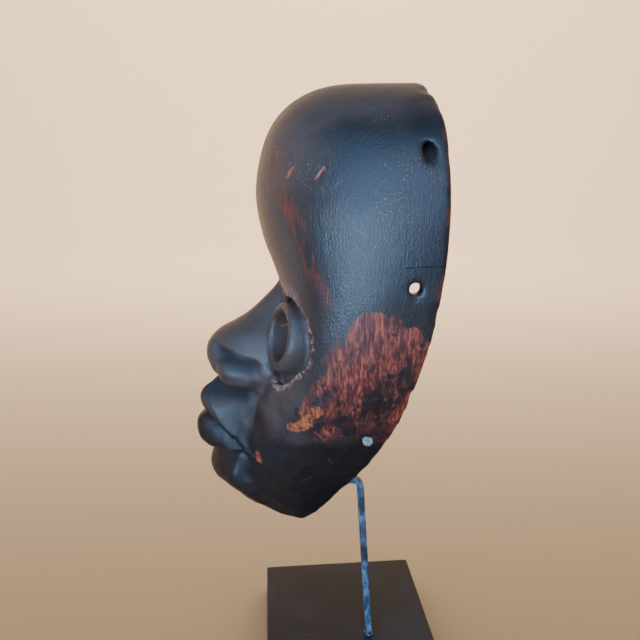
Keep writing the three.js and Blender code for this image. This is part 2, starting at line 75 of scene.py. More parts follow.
# The form is held as depths: at each point of a fine lattice, how far it lies outside the
# wood, in mm. A point is x to the side, reach forward of the back edge, and height over the
# chin's foot.
LATTICE = 1.3
WALL = 8
FACE_WALL = 10
FULL = {"width": 145, "height": 240, "depth": 81}

# Height, half width, reach of the front, reach of the back edge, squareness.
SECTIONS = np.array([
    [240, 0, 27, 0, 2.2], [239, 15, 40, 0, 2.2], [235.5, 29, 53.5, 0, 2.2],
    [228, 46, 65.5, 0, 2.2], [217, 59, 74, 0, 2.25], [202, 68, 79, 0, 2.3],
    [185, 72, 80.8, 0, 2.35], [167, 72.5, 78, 0.2, 2.5], [152, 72, 72.6, 1.3, 2.8],
    [139, 71, 68.6, 2.8, 3.2], [124, 69, 68.8, 5.4, 3.5], [107, 65.5, 72.8, 9.2, 3.3],
    [89, 60, 79.8, 13.5, 3], [72, 53, 86.8, 19.4, 2.8], [56, 45.5, 92.8, 26.6, 2.6],
    [43, 38.5, 96.8, 34, 2.5], [33, 32, 97.8, 40.7, 2.4], [23, 26, 93.3, 45.6, 2.3],
    [13, 18.5, 81.3, 51.1, 2.2], [5, 11, 68.8, 57.1, 2.15], [1.5, 5.5, 64.3, 60.6, 2.1],
    [0, 0, 62.7, 62.7, 2.1],
], dtype=float)


def curve(t, start, end, leaving, arriving):
    """The place at t, from 0 to 1, on a smooth curve with a slope given at each end."""
    return (
        (2 * t**3 - 3 * t**2 + 1) * start + (t**3 - 2 * t**2 + t) * leaving
        + (3 * t**2 - 2 * t**3) * end + (t**3 - t**2) * arriving
    )


def smooth_through(points, steps=60):
    """A smooth curve through given points, as many small steps between each pair."""
    padded = np.vstack([2 * points[0] - points[1], points, 2 * points[-1] - points[-2]])
    t = np.linspace(0, 1, steps, endpoint=False)[:, None]
    runs = []
    for before, start, end, after in zip(padded, padded[1:], padded[2:], padded[3:]):
        runs.append(curve(t, start, end, (end - before) / 2, (after - start) / 2))
    return np.vstack([*runs, points[-1]])


section_curve = smooth_through(SECTIONS)[::-1]
NARROWEST = 3
SHALLOWEST = 2
# Past this the form stops climbing, so that it stays even where the crown flattens out.
WELL_OUTSIDE = 0.25


def section_at(level):
    """The half width, front, back edge and squareness of the dome at a height."""
    half, front, rim, squareness = (
        np.interp(level, section_curve[:, 0], section_curve[:, i]).astype(np.float32)
        for i in (1, 2, 3, 4)
    )
    return np.maximum(half, NARROWEST), np.maximum(front, rim + SHALLOWEST), rim, squareness


# One half of the lattice, which is mirrored when the form is whole.
half_x = np.arange(0, 77, LATTICE, dtype=np.float32)
all_reach = np.arange(-4, 123, LATTICE, dtype=np.float32)
all_height = np.arange(-3, 244, LATTICE, dtype=np.float32)
x = half_x[:, None, None]
reach = all_reach[None, :, None]
height = all_height[None, None, :]


def as_depth(form):
    """A form that is 0 at its surface, scaled to about the distance from there."""
    steepness = np.sqrt(sum(slope**2 for slope in np.gradient(form, LATTICE)))
    return form / np.maximum(steepness, 1e-3)


def blend_in(first, second, soft):
    """Joins two forms, with a fillet of about that size where they meet."""
    share = np.clip(0.5 + 0.5 * (second - first) / soft, 0, 1)
    return second + (first - second) * share - soft * share * (1 - share)


def keep_within(first, second, soft):
    """Keeps what lies in both forms, with the edge between them worn round."""
    return -blend_in(-first, -second, soft)


def dome(wall=0.0, face_wall=0.0):
    """The dome, or the smaller one that lies inside it by the walls."""
    level = FULL["height"] / 2 + (height - FULL["height"] / 2) / (1 - 2 * wall / FULL["height"])
    half, front, rim, squareness = section_at(level)
    across = x / (1 - 2 * wall / FULL["width"]) / half
    forward = np.maximum(reach / (1 - face_wall / FULL["depth"]) - rim, 0) / (front - rim)
    round_form = (across**squareness + forward**squareness) ** (1 / squareness) - 1
    round_form = np.minimum(round_form, WELL_OUTSIDE)
    ends = np.maximum(level - FULL["height"], -level)
    return np.maximum(as_depth(round_form), ends)


RIM_WEAR = 1.8
plain_dome = dome()
behind = as_depth(section_at(height)[2] - reach + 0 * x)
wood = keep_within(plain_dome, behind, RIM_WEAR)
hollow = dome(WALL, FACE_WALL)


# ---- The mask's chin, lips and nose ----
# These stand out of the dome. The lips push forward with a sharp crest and a crease that runs
# from beside the nose to the corner of the mouth. The nose is a ridge with two full wings.
# Each is drawn as the reach of its face at each x and height, and blended into the dome.

ROOT_DEPTH = 5
side_x = half_x[:, None]
up = all_height[None, :]


def along(points, at):
    """Reads given (place, value) pairs as a smooth curve."""
    place, value = np.array(points, dtype=float).T
    inner = (value[2:] - value[:-2]) / (place[2:] - place[:-2])
    ends = np.diff(value)[[0, -1]] / np.diff(place)[[0, -1]]
    slope = np.concatenate([ends[:1], inner, ends[1:]])
    at = np.clip(at, place[0], place[-1])
    i = np.clip(np.searchsorted(place, at) - 1, 0, len(place) - 2)
    span = place[i + 1] - place[i]
    t = (at - place[i]) / span
    return curve(t, value[i], value[i + 1], span * slope[i], span * slope[i + 1])


def raised(face, *edges, soft=1.0):
    """A feature whose face reaches out to face, cut off by edges that are drawn flat."""
    slope_x, slope_up = np.gradient(face, LATTICE)
    steepness = np.sqrt(1 + slope_x**2 + slope_up**2).astype(np.float32)
    form = (reach - face.astype(np.float32)[:, None, :]) / steepness[:, None, :]
    for edge in edges:
        form = keep_within(form, (edge + 0 * face).astype(np.float32)[:, None, :], soft)
    return np.maximum(np.maximum(form, -ROOT_DEPTH - plain_dome), behind)


CHIN_PROFILE = [
    (4, 65), (7.4, 71), (11, 76.5), (14.8, 82.4), (20.3, 92), (26.8, 100.4), (31, 105.3),
    (34.5, 108.4), (38.5, 109.8), (44, 109.2), (54, 106),
]
CHIN_FOOT = 7
CHIN_TOP = 54
CHIN_HALF_WIDTH = 24
CHIN_ROUNDING = 17
chin_half = np.minimum(CHIN_HALF_WIDTH, 0.8 * section_at(up)[0])
chin_face = along(CHIN_PROFILE, up) - 7 * (side_x / CHIN_ROUNDING) ** 2
chin = raised(chin_face, side_x - chin_half, CHIN_FOOT - up, up - CHIN_TOP)
wood = blend_in(wood, chin, 3.0)

MOUTH_HALF_WIDTH = 31
MOUTH_CORNER = 53.5
out_from_middle = side_x / MOUTH_HALF_WIDTH
slit = MOUTH_CORNER + 8.25 * (1 + np.cos(math.pi * np.minimum(out_from_middle, 1)))
lip_top = 90 - 0.25 * side_x
lip_bottom = 50.5 + 1.6 * out_from_middle**2

# The crease runs from beside the nose down to the corner of the mouth.
down_crease = (84 - up) / 30
crease_x = 18 + 13.5 * down_crease
crease_reach = 87 - 5.2 * down_crease

lip_middle = (slit + lip_bottom) / 2
lip_half = np.maximum((slit - lip_bottom) / 2, 0.3)
swell = np.sqrt(np.maximum(1 - ((up - lip_middle) / lip_half) ** 2, 0))
lip_edge = 110 - 0.054 * side_x**2
lip_full = 117 - 0.060 * side_x**2
lower_face = np.minimum(lip_edge + (lip_full - lip_edge) * swell, 82 + (31 - side_x) * 3)
lower_lip = raised(lower_face, side_x - 30, lip_bottom - up, up - slit, soft=0.8)
wood = blend_in(wood, lower_lip, 0.8)

# The upper lip's crest falls from its peak in the middle and meets the slit at the side.
CREST_X = [(51, 33), (54.4, 28), (58.5, 20), (67, 16), (77, 10.5), (87, 3.8), (91, 1.5)]
CREST_REACH = [(51, 82), (54.4, 86), (58.5, 94.5), (67, 101), (77, 107), (87, 110), (91, 110)]
LIP_MIDDLE = [(66, 110), (70, 112), (74, 114), (79, 114.4), (84, 113), (88, 110.4), (91, 108)]
crest_x = along(CREST_X, up)
crest_reach = along(CREST_REACH, up)
across_band = np.clip(side_x / crest_x, 0, 1)
lip_band = along(LIP_MIDDLE, up) + (crest_reach - along(LIP_MIDDLE, up)) * across_band**2
past_crest = np.clip((side_x - crest_x) / np.maximum(crease_x - crest_x, 2), 0, 1.3)
lip_side = crest_reach + (crease_reach - crest_reach) * past_crest
lip_side = lip_side - 2.2 * np.sin(math.pi * np.minimum(past_crest, 1))
crest_bead = 1.3 * np.exp(-(((side_x - crest_x) / 1.3) ** 2))
over_slit = np.clip((up - slit) / 3.5, 0, 1)
rolled_in = 3.2 * (1 - over_slit**2 * (3 - 2 * over_slit))
rolled_in = rolled_in * np.clip((25 - side_x) / 9, 0, 1)
under_top = np.clip((lip_top - up) / 13, 0, 1)
upper_face = np.where(side_x < crest_x, lip_band, lip_side)
upper_face = upper_face + crest_bead - rolled_in - 7.5 * (1 - under_top) ** 2
upper_lip = raised(upper_face, side_x - MOUTH_HALF_WIDTH, slit - up, up - lip_top, soft=0.6)
wood = blend_in(wood, upper_lip, 0.5)

# The line between the lips is cut in with the knife.
cut_line = np.abs(up - slit)[:, None, :] - np.clip((reach - 103) * 0.1, 0, 0.9)
cut_line = np.maximum(cut_line, (side_x - 29)[:, :, None])
wood = keep_within(wood, -np.maximum(cut_line, 103 - reach), 0.5)

NOSE_FOOT = 90.3
NOSE_TOP = 146
NOSE_RIDGE = [
    (88, 101), (90.3, 103), (92.5, 106), (97, 108.4), (103, 109.8), (108, 109), (112.5, 106),
    (116.5, 101.3), (120.5, 93.8), (125, 86.6), (132, 78.8), (140, 71.3), (146, 68.3),
]
NOSE_HALF_WIDTH = [(90, 15), (100, 15), (110, 14), (120, 12), (130, 9.5), (146, 7)]
WING = {"x": 12.5, "reach": 87, "height": 98, "half": (11.5, 16.5, 13), "foot": 86.2}
NOSTRIL = {"x": 8, "reach": 93, "height": 87.5, "half": (3.2, 6.5, 4.5)}

across_nose = side_x / along(NOSE_HALF_WIDTH, up)
ridge_face = (
    along(NOSE_RIDGE, up) - 9 * across_nose**2 - 12 * np.maximum(across_nose - 1, 0) ** 2
)
underside = NOSE_FOOT - 0.3 * np.maximum(side_x - 3, 0)
ridge = raised(ridge_face, underside - up, up - NOSE_TOP, soft=1.5)


def egg(shape):
    """An egg-shaped form at its place."""
    offsets = (x - shape["x"], reach - shape["reach"], height - shape["height"])
    near = np.sqrt(sum((o / h) ** 2 for o, h in zip(offsets, shape["half"])))
    nearer = np.sqrt(sum((o / h**2) ** 2 for o, h in zip(offsets, shape["half"])))
    return near * (near - 1) / np.maximum(nearer, 1e-4)


wing = keep_within(egg(WING), WING["foot"] - height, 1.2)
nose = keep_within(blend_in(ridge, wing, 0.9), -egg(NOSTRIL), 0.6)
wood = blend_in(wood, nose, 0.8)


# ---- The mask's eyes ----
# Each eye is a round tube left standing in a groove that was cut down round it with a narrow
# gouge, and bored through with a hot iron. The tube's wall thins towards its front edge.

EYE = {"x": 33, "reach": 71.5, "height": 120.5}
EYE_RADIUS = 18
EYE_BORE_RADIUS = 12.2
EYE_TUBE_LENGTH = 22
GROOVE_DEPTH = 5.4
# The groove's width at each turn round the eye: 0 is towards the cheek, 90 is up.
GROOVE_WIDTHS = [
    (-180, 2), (-120, 3.5), (-85, 6), (-45, 4), (-10, 7), (35, 7.6), (60, 5), (85, 2.2),
    (120, 1.5), (180, 2),
]
# The groove stops here on the side of the nose, counted from the eye's middle.
GROOVE_END = -9
EYE_TAPER = 1.6
EYE_TAPER_LENGTH = 9
EYE_YAW = math.radians(16)
EYE_PITCH = math.radians(11)

eye_axis = (
    math.sin(EYE_YAW) * math.cos(EYE_PITCH),
    math.cos(EYE_YAW) * math.cos(EYE_PITCH),
    math.sin(EYE_PITCH),
)


def from_eye(side_x, forward, up):
    """How far a place lies out along the eye's axis, and how far it lies from that axis."""
    offsets = (side_x - EYE["x"], forward - EYE["reach"], up - EYE["height"])
    out = sum(offset * part for offset, part in zip(offsets, eye_axis))
    return out, np.sqrt(np.maximum(sum(offset**2 for offset in offsets) - out**2, 0))


def groove_edge(side_x, forward, up):
    """The groove's outer radius at each place, and how far it lies towards the cheek."""
    towards_cheek = (side_x - EYE["x"]) * math.cos(EYE_YAW)
    towards_cheek = towards_cheek - (forward - EYE["reach"]) * math.sin(EYE_YAW)
    turn = np.degrees(np.arctan2(up - EYE["height"], towards_cheek))
    return EYE_RADIUS + along(GROOVE_WIDTHS, turn), towards_cheek


eye_out, eye_away = from_eye(x, reach, height)
bed = dome(GROOVE_DEPTH, GROOVE_DEPTH)
groove_radius, towards_cheek = groove_edge(x, reach, height)
groove = np.maximum(eye_away - groove_radius, -bed)
groove = np.maximum(groove, GROOVE_END - towards_cheek)
groove = np.maximum(groove, -EYE_TUBE_LENGTH - eye_out)
wood = keep_within(wood, -groove, 0.7)
taper = EYE_TAPER * np.clip(1 + eye_out / EYE_TAPER_LENGTH, 0, 1) ** 2
tube = keep_within(eye_away - EYE_RADIUS + taper, eye_out, 0.9)
tube = np.maximum(tube, -EYE_TUBE_LENGTH - eye_out)
wood = blend_in(wood, tube, 0.5)


# ---- The mask's hollow, bores and tie holes ----
# The hollow is cut last. Holes beside the back edge took the cords of a raffia fringe: two
# pairs are open, and the lowest pair is plugged.

EYE_BORE_LENGTH = 50
HOLE_RADIUS = 2.75
OUTER_FACE = 68
HOLE_INNER_END = 40
# Reach and height at the outer face, and how far the hole climbs for each mm it goes in.
TIE_HOLES = [(8.5, 203.9, 0.75), (13.5, 151, 0), (29.5, 73, 0)]

wood = keep_within(wood, -hollow, 1.2)
bore = np.maximum(eye_away - EYE_BORE_RADIUS, -EYE_BORE_LENGTH - eye_out)
wood = keep_within(wood, -bore, 1.0)
for hole_reach, hole_height, climb_in in TIE_HOLES:
    centre = hole_height + climb_in * (OUTER_FACE - x)
    away = np.sqrt((reach - hole_reach) ** 2 + (height - centre) ** 2) - HOLE_RADIUS
    wood = keep_within(wood, -np.maximum(away, HOLE_INNER_END - x), 0.6)
whole = np.concatenate([wood[:0:-1], wood], axis=0)


# ---- The mask's knife work and damage ----
# The carver left small facets on the jaw and broader ones in the hollow. Handling has
# knocked chips out of the back edge and the crown, and rubbed the plain sides smooth.

MM = 0.001
mask_low, mask_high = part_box("mask_shell")


def surface_of(depths, origin):
    """The skin where a lattice of depths crosses 0, as points in mm and four-sided faces."""
    grid = openvdb.FloatGrid()
    grid.copyFromArray(np.ascontiguousarray(depths, dtype=np.float32))
    points, faces = grid.convertToQuads(0.0)
    return points * LATTICE + origin, faces


points, faces = surface_of(whole, (-half_x[-1], all_reach[0], all_height[0]))
carving_mesh = bpy.data.meshes.new("mask_carving")
carving_mesh.from_pydata(points.tolist(), [], faces.tolist())
carving_mesh.update()

normals = np.zeros(len(points) * 3, np.float32)
carving_mesh.vertices.foreach_get("normal", normals)
normals = normals.reshape(-1, 3)

# Where each point was carved, before the damage and the rubbing move it.
at_x, at_reach, at_height = points.T


def soft_noise(scale, seed=0.0, stretch=1.0):
    """Smooth noise at each point of the carving, in lumps of about that size in mm."""
    return np.array([
        noise.noise(Vector((a / scale, b / scale, c / scale / stretch + seed)))
        for a, b, c in points
    ])


def facets(scale, seed, stretch=1.0):
    """How far each point lies from the middle of its knife facet, from 0 to about 1."""
    return np.array([
        noise.voronoi(Vector((a / scale, b / scale, c / scale / stretch + seed)))[0][0]
        for a, b, c in points
    ])


def ramp(value, start, end):
    """Climbs smoothly from 0 at start to 1 at end."""
    t = np.clip((value - start) / (end - start), 0, 1)
    return t * t * (3 - 2 * t)


fold = np.abs(at_x)
origin = (0, all_reach[0], all_height[0])
nearest = tuple(
    np.clip(np.rint((value - first) / LATTICE).astype(int), 0, count - 1)
    for value, first, count in zip((fold, at_reach, at_height), origin, wood.shape)
)
# 1 on the outer skin, 0 in the hollow, from how thick the wood is between the two.
outside = ramp(hollow[nearest], 1.0, 3.5)


def dent(place, size, depth):
    """A chip or bruise pressed into the surface round a place."""
    away = np.sqrt((((points - np.array(place)) / np.array(size)) ** 2).sum(axis=1))
    return -depth * (1 - ramp(away, 0.1, 1))


# Place, size each way and depth of each chip. A depth below 0 stands out as a ledge.
CHIPS = [
    ((33, 0, 234), (8, 7, 4), 1.6), ((50, 0, 224), (6, 4, 5), 0.5), ((66, 0, 206), (5, 4, 8), 0.4),
    ((71, 3, 139), (4, 4, 6), 0.9), ((70.5, 5, 122), (4, 4, 5), 1.2), ((63, 12, 99), (5, 4, 5), 1.0),
    ((-50, 0, 223), (9, 6, 6), 1.5), ((-72, 1, 168), (4, 4, 9), 1.0), ((-61, 14, 92), (4, 5, 6), 1.1),
    ((45.1, 65, 198.5), (2, 2, 5), 0.5), ((55.7, 52.8, 198.7), (2, 2, 5), 0.45),
    ((70.3, 13.5, 146.6), (3, 2, 2), 0.9), ((31, 82, 54.4), (2, 2.4, 3), 0.8),
    ((25, 92, 57), (2.6, 2.6, 2), 1.0), ((12, 108, 38), (6, 4, 2.5), 0.7),
    ((20, 62, 13), (9, 6, 1.6), -0.8),
]
damage = sum(dent(place, size, depth) for place, size, depth in CHIPS)

# The wing of the nose is undercut along a line that falls away from the tip.
UNDERCUT_DEPTH = 2.6
line_height = 105 + 0.31 * (at_reach - 83)
below_line = line_height - at_height
undercut = ramp(below_line, -0.8, 1.8) * (1 - ramp(below_line, 2.5, 12))
undercut *= ramp(at_reach, 79, 84) * (1 - ramp(at_reach, 101, 107)) * ramp(fold, 5, 9)
damage -= UNDERCUT_DEPTH * undercut * (1 - ramp(fold, 24, 27)) * outside
points = points + normals * damage[:, None]

face_sides = np.concatenate([faces[:, pair] for pair in ([0, 1], [1, 2], [2, 3], [3, 0])])
edges = np.unique(np.sort(face_sides, axis=1), axis=0)
near_count = np.bincount(edges.ravel(), minlength=len(points))[:, None]


def rubbed(places, share):
    """Moves each point towards the middle of its neighbours, as rubbing does."""
    middle = np.zeros_like(places)
    np.add.at(middle, edges[:, 0], places[edges[:, 1]])
    np.add.at(middle, edges[:, 1], places[edges[:, 0]])
    return places + share[:, None] * (middle / near_count - places)


features = ramp(at_reach, 66, 72) * (1 - ramp(fold, 40, 50)) * outside
plain_share = 0.45 - 0.4 * features
crown_share = 0.75 * ramp(at_height, 222, 230)
for share, times_over in ((plain_share, 3), (crown_share, 5)):
    for i in range(times_over):
        points = rubbed(points, share)

long_waves = soft_noise(34, seed=3.0)
short_waves = soft_noise(11, seed=7.0)
jaw_facets = facets(7.5, seed=11.0)
hollow_facets = facets(10, seed=23.0, stretch=1.7)
on_jaw = ramp(-at_height, -118, -92) * outside
lift = 0.35 * long_waves + 0.07 * short_waves
lift += on_jaw * 0.8 * (jaw_facets**2 - 0.25)
lift += (1 - outside) * 0.9 * (hollow_facets**2 - 0.3)
points = points + normals * lift[:, None]

placed = np.stack([points[:, 0], -points[:, 1], points[:, 2]], axis=1) * MM
stretch = (mask_high.z - mask_low.z) / (FULL["height"] * MM)
placed = placed * stretch + np.array([0, mask_high.y, mask_low.z])
carving_mesh.vertices.foreach_set("co", placed.astype(np.float32).ravel())
carving_mesh.flip_normals()
carving_mesh.update()
carving_mesh.shade_smooth()


# ---- The mask's patina ----
# Years of oil, soot and handling have left a near-black skin. It is rubbed through to red
# wood on the cheeks and along the back edge, matt and brown on the face plane, where the
# brown is partly a painted warm reflection, painted black towards the bottom of the jaw, and
# scraped raw round the eyes. Painted shade darkens the plane under the nose and the
# undersides of its wings.

carving = bpy.data.objects.new("mask_carving", carving_mesh)
bpy.context.scene.collection.objects.link(carving)


def paint(name, values):
    """Keeps one number for each point of the carving, for the patina to read."""
    layer = carving_mesh.attributes.new(name, "FLOAT", "POINT")
    layer.data.foreach_set("value", np.clip(values, 0, 1).astype(np.float32))


left = ramp(at_x, -5, 5)
eye_out_here, eye_radius_here = from_eye(fold, at_reach, at_height)

# The red wood of the cheek ends in an arc at the top and a slanting line at the front.
ragged = 5 * soft_noise(9, seed=31.0) + 3 * soft_noise(4, seed=37.0, stretch=2.5)
top_edge = 140 - 14 * ((at_reach - 32) / 26) ** 2
front_edge = 42 + 0.43 * (139 - at_height)
worn = ramp(top_edge - at_height + ragged, -2, 4)
worn *= ramp(front_edge - at_reach + ragged, -4, 6)
worn *= ramp(at_height + ragged, 66, 84) * outside * ramp(fold, 30, 44)
worn *= (0.35 + 0.65 * left) * ramp(eye_radius_here, 26, 33)
paint("worn", worn)
paint("deep", ramp(-at_height - 0.35 * at_reach, -146, -100))
paint("face", (1 - ramp(fold, 44, 60)) * outside)

# The jaw is painted black towards its bottom.
dark_bottom_and_shade = ramp(-at_height + 10 * soft_noise(14, seed=41.0), -84, -64) * outside
# Painted shade: the plane under the nose and the undercut below each wing's crease are darkened, and
# made rougher.
under_nose = ramp(at_height, 74, 83) * (1 - ramp(at_height, 89, 92))
under_nose *= ramp(at_reach, 84, 89) * (1 - ramp(fold, 19, 25))
shade_under_nose = np.maximum(under_nose, undercut * (1 - ramp(fold, 24, 27))) * outside
paint("shade_under_nose", shade_under_nose)
paint("dark_bottom_and_shade", np.maximum(dark_bottom_and_shade, 0.8 * shade_under_nose))
paint("inside", 1 - outside)
paint("dusty", ramp(at_height, 125, 190) * outside + 0.5 * (1 - outside))

past_socket = eye_radius_here - groove_edge(fold, at_reach, at_height)[0]
scrape_noise = soft_noise(3.5, seed=43.0)
scraped = ramp(past_socket, -1.4, -0.3) * (1 - ramp(past_socket + 2.5 * scrape_noise, 1.6, 3.2))
scraped *= ramp(scrape_noise + 0.45, -0.1, 0.25) * outside * ramp(fold, 27, 31)
scuffed = (1 - ramp(past_socket + 5 * scrape_noise, 2, 9)) * ramp(past_socket, -1, 0.5)
scuffed *= ramp(at_height, 134, 139) * ramp(fold, 26, 30) * (1 - ramp(fold, 44, 52))
scraped = np.maximum(scraped, 0.85 * scuffed * outside)
paint("scraped", scraped)

rim_reach = section_at(at_height)[2]
rubbed_edge = 1 - ramp(at_reach - rim_reach, 1.2, 3.4)
rubbed_edge *= ramp(soft_noise(8, seed=47.0), -0.05, 0.3) * ramp(at_height, 84, 96)
rubbed_edge *= 1 - ramp(at_height, 128, 150) * 0.75
paint("edge", rubbed_edge)


def streak(start, end, width):
    """How close each point of the left cheek is to a line drawn from start to end."""
    a = np.array(start, dtype=float)
    b = np.array(end, dtype=float)
    here = np.stack([at_reach, at_height], axis=1)
    t = np.clip(((here - a) @ (b - a)) / ((b - a) @ (b - a)), 0, 1)
    away = np.linalg.norm(here - a - t[:, None] * (b - a), axis=1)
    return (1 - ramp(away, width * 0.5, width)) * left * outside


raw = streak((65.2, 78.5), (59, 81.5), 4.4)
raw = np.maximum(raw, streak((59.6, 83), (54, 90.5), 4.2))
mouth_corner = 0.9 * streak((83.5, 57), (81.4, 52.5), 2.6) * ramp(fold, 27, 30)
raw = np.maximum(raw, mouth_corner)
bore_scrape = np.exp(-(((at_height - 122.5) / 1.6) ** 2)) * ramp(-eye_out_here, 3, 5)
bore_scrape *= (1 - ramp(-eye_out_here, 10, 13)) * (1 - ramp(eye_radius_here, 13.2, 14.2)) * left
paint("raw", np.maximum(raw, 0.9 * bore_scrape))

# Strength, start, end and width of each rubbed streak on the forehead and the temple.
RUBBED_STREAKS = [
    (0.95, (67.5, 187), (60.5, 171), 4.6), (0.6, (61, 172), (56, 155), 4.0),
    (0.5, (70, 206), (69, 192), 6.0), (0.45, (53, 152), (51, 141), 5.0),
]
reddish = np.max([strength * streak(*line) for strength, *line in RUBBED_STREAKS], axis=0)
paint("reddish", reddish * ramp(soft_noise(3.5, seed=59.0, stretch=3) + 0.4, 0, 0.5))
paint("near_side", left * outside)


def tree_of(name):
    """A new material with its shader, ready for its nodes."""
    material = bpy.data.materials.new(name)
    material.use_nodes = True
    return material, material.node_tree, material.node_tree.nodes["Principled BSDF"]


def put(value, socket):
    """Links a value to a socket, or sets the socket to it when it is a number."""
    if isinstance(value, bpy.types.NodeSocket):
        socket.id_data.links.new(value, socket)
    else:
        socket.default_value = value


def node(tree, kind, inputs, **settings):
    """A shader node with its settings, and its inputs linked or set."""
    made = tree.nodes.new("ShaderNode" + kind)
    for setting, value in settings.items():
        setattr(made, setting, value)
    for name, value in inputs.items():
        put(value, made.inputs[name])
    return made


def vector_sum(operation, first, second, output="Vector"):
    """One sum with places or directions."""
    made = node(first.id_data, "VectorMath", {0: first, 1: second}, operation=operation)
    return made.outputs[output]


def speckle(tree, scale, stretch=(1, 1, 1), detail=4.0, roughness=0.55):
    """Noise fixed to the piece, from 0 to 1, with its lumps drawn out along an axis."""
    place = node(tree, "TexCoord", {}).outputs["Object"]
    drawn = vector_sum("MULTIPLY", place, stretch)
    sizes = {"Vector": drawn, "Scale": scale, "Detail": detail, "Roughness": roughness}
    return node(tree, "TexNoise", sizes).outputs["Fac"]


def climb(value, start, end):
    """Turns a value into 0 below start and 1 above end."""
    limits = {"Value": value, "From Min": start, "From Max": end}
    return node(value.id_data, "MapRange", limits, interpolation_type="SMOOTHSTEP").outputs["Result"]


def blend_colour(share, first, second):
    """Two colours mixed by a share from 0 to 1."""
    first, second = (
        tone if isinstance(tone, bpy.types.NodeSocket) else (*tone, 1) for tone in (first, second)
    )
    return node(share.id_data, "Mix", {0: share, 6: first, 7: second}, data_type="RGBA").outputs[2]


def worked_out(operation, first, second):
    """One sum, in the shader tree that its values come from."""
    tree = (first if isinstance(first, bpy.types.NodeSocket) else second).id_data
    return node(tree, "Math", {0: first, 1: second}, operation=operation).outputs[0]


def plus(first, second):
    return worked_out("ADD", first, second)


def less(first, second):
    return worked_out("SUBTRACT", first, second)


def times(first, second):
    return worked_out("MULTIPLY", first, second)


def greater(first, second):
    return worked_out("MAXIMUM", first, second)


patina, wood_tree, wood_shader = tree_of("oiled_wood_patina")


def painted(name):
    """A number that was painted on the carving."""
    return node(wood_tree, "Attribute", {}, attribute_name=name).outputs["Fac"]


def near_stroke(start, end, width):
    """1 on a thin mark on the mask's left side, between two (reach, height) places."""
    a, b = (
        Vector((0, mask_high.y - forward * MM, mask_low.z + up * MM)) for forward, up in (start, end)
    )
    ahead = b - a
    scaled = ahead / ahead.length_squared
    place = node(wood_tree, "TexCoord", {}).outputs["Object"]
    flat = vector_sum("MULTIPLY", place, (0, 1, 1))
    offset = vector_sum("SUBTRACT", flat, a)
    share = vector_sum("DOT_PRODUCT", offset, scaled, "Value")
    on_line = node(wood_tree, "Math", {0: share, 1: 1.0}, operation="MULTIPLY", use_clamp=True)
    run = {0: ahead, "Scale": on_line.outputs[0]}
    along_it = node(wood_tree, "VectorMath", run, operation="SCALE").outputs[0]
    left_over = vector_sum("SUBTRACT", offset, along_it)
    away = vector_sum("LENGTH", left_over, (0, 0, 0), "Value")
    mark = climb(away, width * MM, 0.45 * width * MM)
    return times(mark, painted("near_side"))


def layered(value, *layers):
    """A value with each (layer, share) added in turn."""
    for layer, share in layers:
        value = plus(value, times(layer, share))
    return value


def coat(shader, colour, roughness, relief, strength, depth):
    """Gives a shader its colour and roughness, and a relief too fine for the mesh."""
    heights = {"Strength": strength, "Distance": depth, "Height": relief}
    put(colour, shader.inputs["Base Color"])
    put(roughness, shader.inputs["Roughness"])
    put(node(shader.id_data, "Bump", heights).outputs["Normal"], shader.inputs["Normal"])


SKIN_BLACK = (0.010, 0.010, 0.012)
SKIN_BROWN = (0.020, 0.013, 0.011)
FACE_BROWN_AND_REFLECTION = (0.046, 0.031, 0.026)
BOTTOM_AND_SHADE_BLACK = (0.003, 0.0027, 0.0035)
RED_WOOD = (0.070, 0.010, 0.006)
BRIGHT_RED_WOOD = (0.30, 0.056, 0.027)
DARK_MOTTLE = (0.007, 0.0035, 0.004)
RAW_WOOD = (0.33, 0.070, 0.022)
SCRAPED_WOOD = (0.27, 0.13, 0.10)
DUST = (0.30, 0.29, 0.25)
RUBBED_RED = (0.13, 0.024, 0.012)
NICKED_WOOD = (0.27, 0.080, 0.035)
SCRATCH_GREY = (0.16, 0.14, 0.13)
CRACK_BLACK = (0.002, 0.002, 0.002)

fine_grain = speckle(wood_tree, 900, (1, 1, 0.13), detail=6, roughness=0.65)
broad_grain = speckle(wood_tree, 240, (1, 1, 0.16), detail=5)
cloud = speckle(wood_tree, 38, detail=4)
mottle = speckle(wood_tree, 120, (1, 1, 0.6), detail=8, roughness=0.72)
pores = speckle(wood_tree, 1700, (1, 1, 0.5), detail=2)
specks = speckle(wood_tree, 620, detail=2, roughness=0.5)

skin = blend_colour(climb(cloud, 0.35, 0.7), SKIN_BLACK, SKIN_BROWN)
# The face plane's brown is partly the wood's tone and partly a painted warm reflection of the room.
face_brown_and_reflection = times(painted("face"), climb(cloud, 0.2, 0.55))
skin = blend_colour(face_brown_and_reflection, skin, FACE_BROWN_AND_REFLECTION)
# Black towards the bottom of the jaw, and painted shade under the nose and under its wings.
skin = blend_colour(painted("dark_bottom_and_shade"), skin, BOTTOM_AND_SHADE_BLACK)

red = blend_colour(climb(fine_grain, 0.40, 0.66), RED_WOOD, BRIGHT_RED_WOOD)
deep = painted("deep")
shading = plus(mottle, times(deep, 0.12))
red = blend_colour(climb(shading, 0.50, 0.68), red, DARK_MOTTLE)
dark_grain = plus(broad_grain, times(deep, 0.08))
dark_grain = times(climb(dark_grain, 0.50, 0.68), 0.65)
red = blend_colour(dark_grain, red, DARK_MOTTLE)
worn_share = plus(painted("worn"), times(less(mottle, 0.5), 0.8))
worn_share = climb(worn_share, 0.25, 0.6)
colour = blend_colour(worn_share, skin, red)

